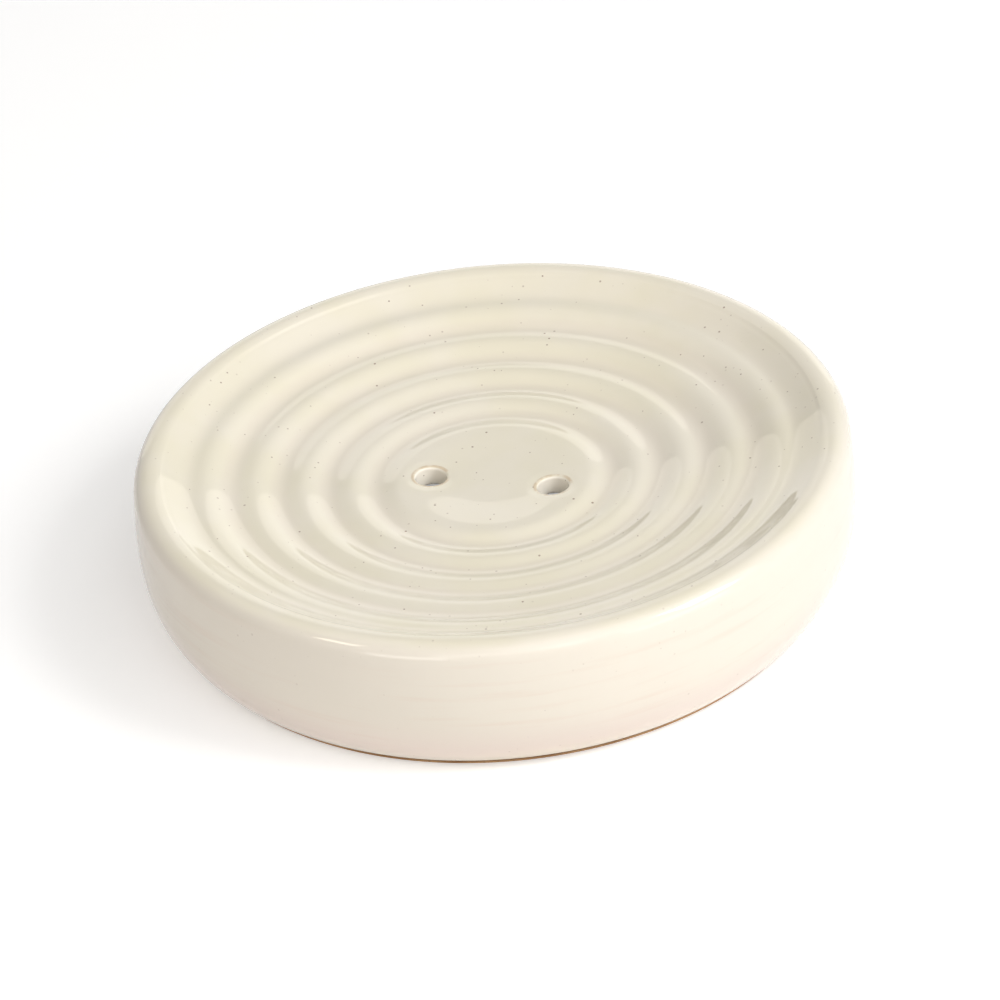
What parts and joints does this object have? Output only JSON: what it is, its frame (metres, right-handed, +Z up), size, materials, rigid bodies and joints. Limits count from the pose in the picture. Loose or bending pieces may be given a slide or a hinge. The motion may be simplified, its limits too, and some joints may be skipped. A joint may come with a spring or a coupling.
{
  "type": "soap dish",
  "caption": "Round glazed stoneware soap dish: shallow bowl with concentric finger ridges and drain holes, on a bare ring foot.",
  "frame": {"origin": "centre of the ring foot, on the table", "axes": "+Z up through the bowl; +X along the line through the two drain holes; the dish is round, so nothing else tells X from Y"},
  "size_m": [0.12, 0.12, 0.025],
  "materials": {
    "fired_clay": "bare stoneware fired to a warm golden brown, dry and matt, seen only at the foot",
    "ivory_glaze": "glossy ivory glaze with fine dark specks, a little thinner and warmer on the edges"
  },
  "bodies": {
    "root": {"stoneware_body": "fired_clay", "glaze_coat": "ivory_glaze"}
  },
  "joints": []
}
